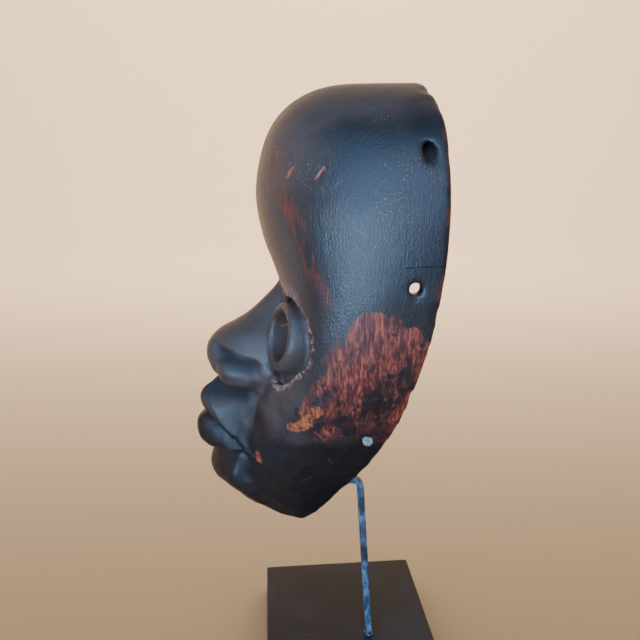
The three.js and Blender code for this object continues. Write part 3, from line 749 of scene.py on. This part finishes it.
reddish_share = times(painted("reddish"), climb(fine_grain, 0.4, 0.62))
edge_share = times(painted("edge"), climb(mottle, 0.35, 0.55))
flaking = times(less(specks, 0.5), 1.1)
raw_share = plus(times(painted("raw"), 0.6), flaking)
raw_share = plus(raw_share, less(fine_grain, 0.5))
raw_share = times(climb(raw_share, 0.34, 0.8), painted("raw"))
scraped_share = times(painted("scraped"), climb(specks, 0.36, 0.56))
flecks = speckle(wood_tree, 1500, (1, 1, 0.8), detail=1)
dust_share = times(climb(flecks, 0.68, 0.73), climb(cloud, 0.44, 0.62))
dust_share = times(times(dust_share, painted("dusty")), 0.45)
for share, tone in (
    (reddish_share, RUBBED_RED), (edge_share, BRIGHT_RED_WOOD), (raw_share, RAW_WOOD),
    (scraped_share, SCRAPED_WOOD), (dust_share, DUST),
):
    colour = blend_colour(share, colour, tone)

# Knife nicks, scratches and the drying crack are too thin for the mesh.
NICKS = [((63.6, 200.4), (66.4, 196.4), 0.8), ((51.2, 200.6), (54.6, 196), 0.65)]
for start, end, width in NICKS:
    nick = times(near_stroke(start, end, width), climb(fine_grain, 0.38, 0.54))
    colour = blend_colour(nick, colour, NICKED_WOOD)
SCRATCHES = [
    ((47, 193), (44, 196), 0.35), ((40, 176), (33, 173), 0.3), ((33, 184), (20, 189), 0.25),
    ((26, 133), (19, 131), 0.3), ((56, 47), (61, 43), 0.5), ((48, 61), (46, 57.5), 0.45),
]
for start, end, width in SCRATCHES:
    scratch = times(near_stroke(start, end, width), 0.13)
    colour = blend_colour(scratch, colour, SCRATCH_GREY)
CRACK = [(-1, 160.9), (5, 160.5), (11, 160.7), (18, 160.1)]
crack = near_stroke(*CRACK[:2], 0.45)
for start, end, width in ((*CRACK[1:3], 0.38), (*CRACK[2:], 0.3)):
    crack = greater(crack, near_stroke(start, end, width))
colour = blend_colour(crack, colour, CRACK_BLACK)

gloss = layered(
    0.25, (cloud, 0.22), (painted("face"), 0.10), (worn_share, 0.16), (scraped_share, 0.3),
    (painted("inside"), 0.2), (painted("shade_under_nose"), 0.4),
)
wood_shader.inputs["Specular IOR Level"].default_value = 0.36

leathery = speckle(wood_tree, 1300, (1, 1, 0.7), detail=3, roughness=0.6)
relief = layered(
    times(fine_grain, 0.7), (pores, 0.35), (mottle, 0.5), (leathery, 0.9),
    (scraped_share, -1.2), (crack, -3.0),
)
coat(wood_shader, colour, gloss, relief, 0.5, 0.00045)

carving_mesh.materials.append(patina)
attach(carving, "mask")
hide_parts("mask_shell")


# ---- The pegs ----
# A whittled peg fills each of the lowest tie holes. It is a paler wood, grey with dust, cut
# off flush with the mask and slightly crumbled at its end.

PEG_RADIUS = HOLE_RADIUS - 0.2
PEG_COLOUR = (0.20, 0.20, 0.19)
PEG_DARK = (0.075, 0.07, 0.066)

peg_wood, peg_tree, peg_shader = tree_of("grey_peg_wood")
peg_mottle = speckle(peg_tree, 900, (0.4, 1, 1), detail=4)
peg_tone = blend_colour(climb(peg_mottle, 0.4, 0.65), PEG_DARK, PEG_COLOUR)
coat(peg_shader, peg_tone, climb(peg_mottle, -0.6, 0.9), peg_mottle, 0.6, 0.0003)


def made_piece(name, work):
    """Turns a worked mesh into a piece of the scene."""
    work_mesh = bpy.data.meshes.new(name)
    work.to_mesh(work_mesh)
    work.free()
    piece = bpy.data.objects.new(name, work_mesh)
    bpy.context.scene.collection.objects.link(piece)
    return piece


def turned(name, profile, sides=48):
    """A round piece about Z from its (radius, height) profile, closed where it meets Z."""
    work = bmesh.new()
    line = [work.verts.new((radius, 0, level)) for radius, level in profile]
    edges = [work.edges.new(pair) for pair in zip(line, line[1:])]
    whole_turn = {"axis": (0, 0, 1), "cent": (0, 0, 0), "angle": 2 * math.pi}
    bmesh.ops.spin(work, geom=line + edges, steps=sides, use_duplicate=False, **whole_turn)
    bmesh.ops.remove_doubles(work, verts=work.verts, dist=1e-7)
    bmesh.ops.recalc_face_normals(work, faces=work.faces)
    for face in work.faces:
        face.smooth = True
    return made_piece(name, work)


for side_name, hand in (("left", 1), ("right", -1)):
    low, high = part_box(f"rim_peg_{side_name}")
    inner, outer = (low.x, high.x) if hand > 0 else (high.x, low.x)
    length = abs(outer - inner)
    tip = 0.35 * MM
    radius = PEG_RADIUS * MM
    profile = [(0, 0), (radius - tip, 0), (radius, tip), (radius, length - 1.6 * tip)]
    profile += [(radius - 0.6 * tip, length - 0.5 * tip)]
    profile += [(radius * 0.55, length - 0.2 * tip), (0, length)]
    peg = turned(f"tie_hole_peg_{side_name}", profile)
    for corner in peg.data.vertices:
        crumble = noise.noise(corner.co * 900 + Vector((hand * 5, 0, 0)))
        if corner.co.z > length / 2:
            corner.co.z += 0.12 * MM * crumble - 0.1 * MM
    middle = (low + high) / 2
    peg.data.transform(Matrix.Rotation(hand * math.pi / 2, 4, "Y"))
    peg.data.transform(Matrix.Translation((inner, middle.y, middle.z)))
    peg.data.materials.append(peg_wood)
    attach(peg, "mask")
    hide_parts(f"rim_peg_{side_name}")


# ---- The base ----
# A flat block of wood with eased edges, brushed with satin black paint. The paint is
# smeared in places, lightly scratched and a little dusty.

BASE_BLACK = (0.008, 0.008, 0.009)
BASE_SMEARED = (0.02, 0.0205, 0.022)
BASE_GRIT = (0.12, 0.12, 0.115)
BASE_WORN = (0.05, 0.047, 0.045)
BASE_EASE = 1.6 * MM



def squared_block(low, high):
    """A plain block between two corners, ready to be worked."""
    work = bmesh.new()
    bmesh.ops.create_cube(work, size=1)
    bmesh.ops.scale(work, vec=high - low, verts=work.verts)
    bmesh.ops.translate(work, vec=(low + high) / 2, verts=work.verts)
    return work


def divide_long_edges(work, shortest, cuts):
    """Cuts up the edges longer than shortest, so that the faces can be shaped."""
    long_edges = [edge for edge in work.edges if edge.calc_length() > shortest]
    bmesh.ops.subdivide_edges(work, edges=long_edges, cuts=cuts, use_grid_fill=True)


base_low, base_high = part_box("base_block")
base_middle = (base_low + base_high) / 2
work = squared_block(base_low, base_high)
bmesh.ops.bevel(
    work, geom=work.edges[:], offset=BASE_EASE, segments=5, profile=0.6, affect="EDGES"
)
divide_long_edges(work, 5 * BASE_EASE, 23)
for vertex in work.verts:
    wobble = noise.noise(vertex.co * 45) * 0.10 * MM
    inset = Vector([np.sign(part) for part in vertex.co - base_middle])
    vertex.co -= Vector((inset.x, inset.y, 0)) * (0.1 * MM + wobble) * 0.5
    if vertex.co.z > base_high.z - BASE_EASE:
        vertex.co.z -= 0.04 * MM + 0.4 * abs(wobble)
for face in work.faces:
    face.smooth = True
base = made_piece("painted_base", work)

base_paint, base_tree, base_shader = tree_of("satin_black_paint_on_wood")
brushed = speckle(base_tree, 260, (0.06, 1, 1), detail=5)
smear = speckle(base_tree, 30, detail=4)
scratch = speckle(base_tree, 900, (0.35, 0.03, 1), detail=2)
grit = speckle(base_tree, 2200, detail=1)
base_tone = blend_colour(climb(smear, 0.35, 0.75), BASE_BLACK, BASE_SMEARED)
scratch_share = times(climb(scratch, 0.68, 0.74), 0.35)
base_tone = blend_colour(scratch_share, base_tone, BASE_WORN)
grit_share = times(climb(grit, 0.7, 0.76), 0.5)
base_tone = blend_colour(grit_share, base_tone, BASE_GRIT)
base_gloss = layered(0.36, (smear, 0.25), (scratch_share, 0.5))
base_relief = plus(times(brushed, 0.8), scratch_share)
coat(base_shader, base_tone, base_gloss, base_relief, 0.3, 0.0003)
base_shader.inputs["Specular IOR Level"].default_value = 0.25
base.data.materials.append(base_paint)
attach(base, "stand")
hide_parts("base_block")


# ---- The felt, the washer and the nut ----
# Black felt is glued under the base. The nut and washer on the rod's threaded end sit in a
# well above it, plated with dull zinc.

felt, felt_tree, felt_shader = tree_of("black_felt")
fluff = speckle(felt_tree, 1800, (1, 1, 1), detail=4)
matted = speckle(felt_tree, 160, detail=3)
felt_tone = blend_colour(climb(fluff, 0.3, 0.75), (0.007, 0.007, 0.008), (0.035, 0.034, 0.036))
coat(felt_shader, felt_tone, climb(matted, -2.0, 0.6), fluff, 0.8, 0.0006)
felt_shader.inputs["Sheen Weight"].default_value = 0.4

felt_low, felt_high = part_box("base_felt")
work = squared_block(felt_low, felt_high)
divide_long_edges(work, 10 * MM, 40)
for vertex in work.verts:
    if vertex.co.z < felt_low.z + 0.1 * MM:
        vertex.co.z += 0.12 * MM * (0.5 + noise.noise(vertex.co * 300))
    vertex.co.x *= 1 + 0.002 * noise.noise(vertex.co * 260)
    vertex.co.y *= 1 + 0.002 * noise.noise(vertex.co * 240)
felt_sheet = made_piece("felt_sheet", work)
felt_sheet.data.materials.append(felt)
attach(felt_sheet, "stand")
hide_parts("base_felt")

zinc, zinc_tree, zinc_shader = tree_of("dull_zinc_plate")
spangle = speckle(zinc_tree, 700, detail=3)
zinc_tone = blend_colour(spangle, (0.42, 0.43, 0.44), (0.62, 0.63, 0.64))
coat(zinc_shader, zinc_tone, climb(spangle, -0.6, 1.6), spangle, 0.3, 0.0001)
zinc_shader.inputs["Metallic"].default_value = 1.0
for name in ("foot_washer", "foot_nut"):
    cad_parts[name].data.materials.clear()
    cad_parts[name].data.materials.append(zinc)


# ---- The steel bar, the fork and the stub ----
# The stand is 4 mm square steel bar, bent cold, with a round cross rod and a short stub
# welded to it. It is painted black and chipped in places, with blue-grey patches that are
# partly rubbed paint and partly a painted bluish reflection of the window.

PAINT_BLACK = (0.012, 0.015, 0.019)
RUBBED_PAINT_AND_REFLECTION = (0.060, 0.105, 0.145)
DEEP_PAINT_AND_REFLECTION = (0.022, 0.042, 0.062)
BARE_STEEL = (0.24, 0.25, 0.25)

paint_on_steel, steel_tree, steel_shader = tree_of("rubbed_black_paint_on_steel")
rubbing_and_reflection = speckle(steel_tree, 190, (1, 1, 0.4), detail=5, roughness=0.65)
chipping = speckle(steel_tree, 520, (1, 1, 0.7), detail=4, roughness=0.6)
# The blue-grey patches are partly rubbed paint and partly a painted bluish reflection of the window.
steel_tone = blend_colour(climb(rubbing_and_reflection, 0.40, 0.56), PAINT_BLACK, DEEP_PAINT_AND_REFLECTION)
steel_tone = blend_colour(climb(rubbing_and_reflection, 0.47, 0.6), steel_tone, RUBBED_PAINT_AND_REFLECTION)
steel_tone = blend_colour(climb(chipping, 0.56, 0.6), steel_tone, PAINT_BLACK)
bare_share = times(climb(chipping, 0.7, 0.73), 0.8)
steel_tone = blend_colour(bare_share, steel_tone, BARE_STEEL)
coat(steel_shader, steel_tone, climb(rubbing_and_reflection, -0.35, 1.3), chipping, 0.5, 0.0004)

BAR_WIDTH = 4
BAR_CORNER = 0.45
BAR_BEND = 5.5
# The bar leans forward by this much as it climbs to its bend.
FOOT_LEAN = 7.6
SHELF_HEIGHT = 128
bar_low, bar_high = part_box("post_bar")
stub_low, stub_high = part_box("chin_stub")
fork_low, fork_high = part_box("fork_bar")


def bent_line(corners, bend, steps=10):
    """A line through corners, each one rounded to the bend's radius."""
    line = [corners[0].copy()]
    for before, corner, after in zip(corners, corners[1:], corners[2:]):
        into = (corner - before).normalized()
        out = (after - corner).normalized()
        turn = into.angle(out)
        set_back = bend * math.tan(turn / 2)
        start, end = corner - into * set_back, corner + out * set_back
        middle = corner + (out - into).normalized() * bend / math.cos(turn / 2)
        for step in range(steps + 1):
            spoke = (start - middle).slerp(end - middle, step / steps)
            line.append(middle + spoke.normalized() * bend)
    line.append(corners[-1].copy())
    return line


def filled_in(line, spacing):
    """The same line with more points on its long stretches."""
    full = [line[0]]
    for start, end in zip(line, line[1:]):
        count = max(1, round((end - start).length / spacing))
        full += [start.lerp(end, (i + 1) / count) for i in range(count)]
    return full


def bridge(work, rings):
    """Joins each ring of points to the next with smooth four-sided faces."""
    for near, far in zip(rings, rings[1:]):
        for j in range(len(near)):
            after = (j + 1) % len(near)
            work.faces.new((near[j], near[after], far[after], far[j])).smooth = True


def swept(name, line, section, across):
    """A bar of one section along a flat line, with across at right angles to it."""
    work = bmesh.new()
    rings = []
    for i, place in enumerate(line):
        ahead = line[min(i + 1, len(line) - 1)] - line[max(i - 1, 0)]
        third = ahead.normalized().cross(across)
        rings.append([work.verts.new(place + across * a + third * b) for a, b in section])
    bridge(work, rings)
    work.faces.new(rings[0][::-1])
    work.faces.new(rings[-1])
    bmesh.ops.recalc_face_normals(work, faces=work.faces)
    return made_piece(name, work)


def square_section(width, corner, steps=4):
    """A square with rounded corners."""
    outline = []
    for quarter in range(4):
        for step in range(steps + 1):
            turn = math.pi / 2 * (quarter + step / steps)
            middle = math.pi / 2 * (quarter + 0.5)
            centre = (width / 2 - corner) * math.sqrt(2)
            outline.append((
                centre * math.cos(middle) + corner * math.cos(turn),
                centre * math.sin(middle) + corner * math.sin(turn),
            ))
    return outline


def round_section(radius, sides=24):
    """A round, as a ring of points."""
    turns = [2 * math.pi * i / sides for i in range(sides)]
    return [(radius * math.cos(turn), radius * math.sin(turn)) for turn in turns]


half_bar = BAR_WIDTH / 2 * MM
riser_y = bar_low.y + half_bar
foot_y = bar_high.y - half_bar
shelf_z = SHELF_HEIGHT * MM
lean_y = foot_y - FOOT_LEAN * MM
bar_corners = [
    Vector((0, y, z))
    for y, z in (
        (foot_y, base_high.z), (lean_y, shelf_z), (riser_y, shelf_z), (riser_y, bar_high.z),
    )
]
SIDEWAYS = Vector((1, 0, 0))
UP = Vector((0, 0, 1))
bar_line = filled_in(bent_line(bar_corners, BAR_BEND * MM), 4 * MM)
bar = swept("square_bar", bar_line, square_section(BAR_WIDTH * MM, BAR_CORNER * MM), SIDEWAYS)
for corner in bar.data.vertices:
    shift = noise.noise_vector(corner.co * 220) * 0.05 * MM
    corner.co += shift

# The bar's foot is turned down and threaded, and goes through the base to the nut.
THREAD_PITCH = 0.7
CREST = 1.9 * MM
ROOT = 1.62 * MM
THREAD_TOP = 12 * MM
tenon_low = bar_low.z
tenon_high = base_high.z + 1 * MM
thread = [(0, tenon_low), (1.5 * MM, tenon_low), (CREST, tenon_low + 0.4 * MM)]
while thread[-1][1] < THREAD_TOP:
    level = thread[-1][1]
    thread += [(ROOT, level + THREAD_PITCH / 2 * MM), (CREST, level + THREAD_PITCH * MM)]
thread += [(CREST, tenon_high), (0, tenon_high)]
tenon = turned("threaded_tenon", thread, sides=24)
tenon.data.transform(Matrix.Translation((0, foot_y, 0)))

# A weld bead runs round each joint, and a collar of filler sits at the bar's foot.
BEAD_STEPS = 40
BEAD_SIDES = 12


def bead(name, centre, along_axis, ring_radius, thickness, seed):
    """A lumpy ring of weld round a joint."""
    work = bmesh.new()
    rings = []
    turn_to = UP.rotation_difference(along_axis)
    for i in range(BEAD_STEPS):
        turn = 2 * math.pi * i / BEAD_STEPS
        outward = turn_to @ Vector((math.cos(turn), math.sin(turn), 0))
        lump = 1 + 0.3 * noise.noise(Vector((math.cos(turn) * 2, math.sin(turn) * 2, seed)))
        ring = []
        for j in range(BEAD_SIDES):
            round_turn = 2 * math.pi * j / BEAD_SIDES
            rise = along_axis * math.sin(round_turn) + outward * math.cos(round_turn)
            ring.append(work.verts.new(centre + outward * ring_radius + rise * thickness * lump))
        rings.append(ring)
    bridge(work, rings + rings[:1])
    bmesh.ops.recalc_face_normals(work, faces=work.faces)
    return made_piece(name, work)


ROD_RADIUS = 2
FORK_HEIGHT = 282
fork_z = FORK_HEIGHT * MM
fork_half = (fork_high.x - fork_low.x) / 2 - ROD_RADIUS * MM
fork_corners = [
    Vector((side * fork_half, riser_y, z))
    for side, z in ((-1, fork_high.z), (-1, fork_z), (1, fork_z), (1, fork_high.z))
]
fork_line = filled_in(bent_line(fork_corners, 7 * MM), 3 * MM)
fork = swept("fork_rod", fork_line, round_section(ROD_RADIUS * MM), Vector((0, 1, 0)))

stub_middle = (stub_low + stub_high) / 2
stub_line = [Vector((0, stub_high.y, stub_middle.z)), Vector((0, stub_low.y, stub_middle.z))]
stub = swept("chin_rod", filled_in(stub_line, 3 * MM), round_section(ROD_RADIUS * MM), SIDEWAYS)

# Name, middle, direction, ring radius, thickness and seed of each bead.
beads = [
    bead(name, Vector((0, y, z)), axis, ring_radius * MM, thickness * MM, seed)
    for name, y, z, axis, ring_radius, thickness, seed in (
        ("fork_weld", riser_y, fork_z - 2.1 * MM, UP, 2.1, 0.7, 1.0),
        ("stub_weld", stub_high.y - 0.1 * MM, stub_middle.z, Vector((0, -1, 0)), 2.0, 0.55, 4.0),
        ("foot_collar", foot_y - 0.02 * MM, base_high.z + 0.3 * MM, UP, 2.5, 0.55, 8.0),
    )
]

for piece in (bar, tenon, fork, stub, *beads):
    piece.data.materials.append(paint_on_steel)
    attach(piece, "stand")
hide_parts("post_bar")
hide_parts("fork_bar")
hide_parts("chin_stub")


# ---- The rubber caps ----
# A moulded black rubber cap is pushed on each prong and on the stub, so that the steel never
# touches the wood. Each has a round end and a rolled lip at its mouth.

rubber, rubber_tree, rubber_shader = tree_of("black_rubber")
bloom = speckle(rubber_tree, 240, detail=4)
moulded = speckle(rubber_tree, 2600, detail=2)
rubber_tone = blend_colour(climb(bloom, 0.4, 0.7), (0.011, 0.011, 0.011), (0.04, 0.04, 0.041))
coat(rubber_shader, rubber_tone, climb(bloom, -1.2, 0.7), moulded, 0.3, 0.0001)

CAP_RADIUS = 3.8
CAP_DEPTH = 10
CAP_BORE = 2.05
CAP_LIP = 0.3

# The mouth's rolled lip, the side, the round end and the bore, in that order.
body = CAP_RADIUS - CAP_LIP
outline = [(CAP_BORE, 0.6), (CAP_BORE + 0.4, 0), (CAP_RADIUS - 0.4, 0), (CAP_RADIUS, 0.5)]
outline += [(CAP_RADIUS, 1.2), (body, 1.8), (body, CAP_DEPTH)]
for step in range(1, 9):
    turn = math.pi / 2 * step / 8
    swell = body + CAP_LIP * math.sin(turn)
    outline.append((max(swell * math.cos(turn), 0), CAP_DEPTH + CAP_RADIUS * math.sin(turn)))
outline += [(0, CAP_DEPTH - 0.3), (CAP_BORE, CAP_DEPTH - 0.3), (CAP_BORE, 0.6)]
cap_profile = [(radius * MM, level * MM) for radius, level in outline]

for cad_node, points_to in (
    ("fork_cap_left", UP), ("fork_cap_right", UP), ("chin_cap", Vector((0, -1, 0))),
):
    low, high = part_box(cad_node)
    mouth = (low + high) / 2
    if points_to.z:
        mouth.z = low.z
    else:
        mouth.y = high.y
    rubber_cap = turned(f"rubber_{cad_node}", cap_profile, sides=40)
    rubber_cap.data.transform(UP.rotation_difference(points_to).to_matrix().to_4x4())
    rubber_cap.data.transform(Matrix.Translation(mouth))
    rubber_cap.data.materials.append(rubber)
    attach(rubber_cap, "stand")
    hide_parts(cad_node)


# ---- The floor, the backdrop and the light ----
# A pale floor sweeps up into a pale wall all round. A wide cool window stands beside and
# behind the viewer, and soft warm light fills in from the room.

FLOOR_COLOUR = (0.84, 0.76, 0.65)
FLOOR_RADIUS = 2.6
SWEEP_RADIUS = 0.8
WALL_HEIGHT = 2.4
sweep_profile = [(0, 0), (0.5, 0), (1.0, 0), (FLOOR_RADIUS - SWEEP_RADIUS, 0)]
for step in range(1, 13):
    turn = math.pi / 2 * step / 12
    sweep_profile.append((
        FLOOR_RADIUS - SWEEP_RADIUS + SWEEP_RADIUS * math.sin(turn),
        SWEEP_RADIUS * (1 - math.cos(turn)),
    ))
sweep_profile.append((FLOOR_RADIUS, WALL_HEIGHT))
floor = turned("floor", sweep_profile, sides=96)
floor.data.flip_normals()
sweep_material, sweep_tree, sweep_shader = tree_of("pale_floor")
sweep_tone = blend_colour(speckle(sweep_tree, 3, detail=2), FLOOR_COLOUR, (0.87, 0.79, 0.69))
put(sweep_tone, sweep_shader.inputs["Base Color"])
sweep_shader.inputs["Roughness"].default_value = 0.85
floor.data.materials.append(sweep_material)

world = bpy.data.worlds.new("room")
world.use_nodes = True
world.node_tree.nodes["Background"].inputs["Color"].default_value = (1.0, 0.87, 0.74, 1)
world.node_tree.nodes["Background"].inputs["Strength"].default_value = 0.16
bpy.context.scene.world = world


def soft_light(name, place, target, size, power, colour):
    """A soft panel of light that faces a target and doesn't show itself."""
    lamp = bpy.data.lights.new(name, "AREA")
    lamp.shape = "RECTANGLE"
    lamp.size, lamp.size_y = size
    lamp.energy = power
    lamp.color = colour
    made = bpy.data.objects.new(name, lamp)
    made.location = place
    made.rotation_euler = (Vector(target) - Vector(place)).to_track_quat("-Z", "Y").to_euler()
    made.visible_camera = False
    bpy.context.scene.collection.objects.link(made)
    return made


SKY = (0.28, 0.55, 1.0)
PALE_SKY = (0.42, 0.68, 1.0)
LAMPLIGHT = (1.0, 0.76, 0.53)
PALE_LAMPLIGHT = (1.0, 0.84, 0.70)
CHEEK = (0.067, -0.01, 0.268)

# The small low pane puts the sheen on the cheek. Warm lamps light the two walls.
mask_middle = (mask_low + mask_high) / 2
window = soft_light("window", (1.30, -0.33, 0.93), mask_middle, (2.1, 1.9), 84, SKY)
window_pane = soft_light("window_pane", (0.92, -0.53, 0.14), CHEEK, (0.36, 0.30), 16, PALE_SKY)

# The window lights the object but not the floor, which would throw it back under the jaw.
off_the_floor = bpy.data.collections.new("off_the_floor")
off_the_floor.objects.link(floor)
off_the_floor.collection_objects[0].light_linking.link_state = "EXCLUDE"
for lamp in (window, window_pane):
    lamp.light_linking.receiver_collection = off_the_floor
soft_light("wall_wash", (-1.0, 0.1, 1.5), (-2.4, 0.2, 0.5), (2.2, 0.8), 84, LAMPLIGHT)
soft_light("front_wall", (0.2, -1.2, 1.4), (0.1, -2.4, 0.4), (1.6, 0.6), 3, PALE_LAMPLIGHT)
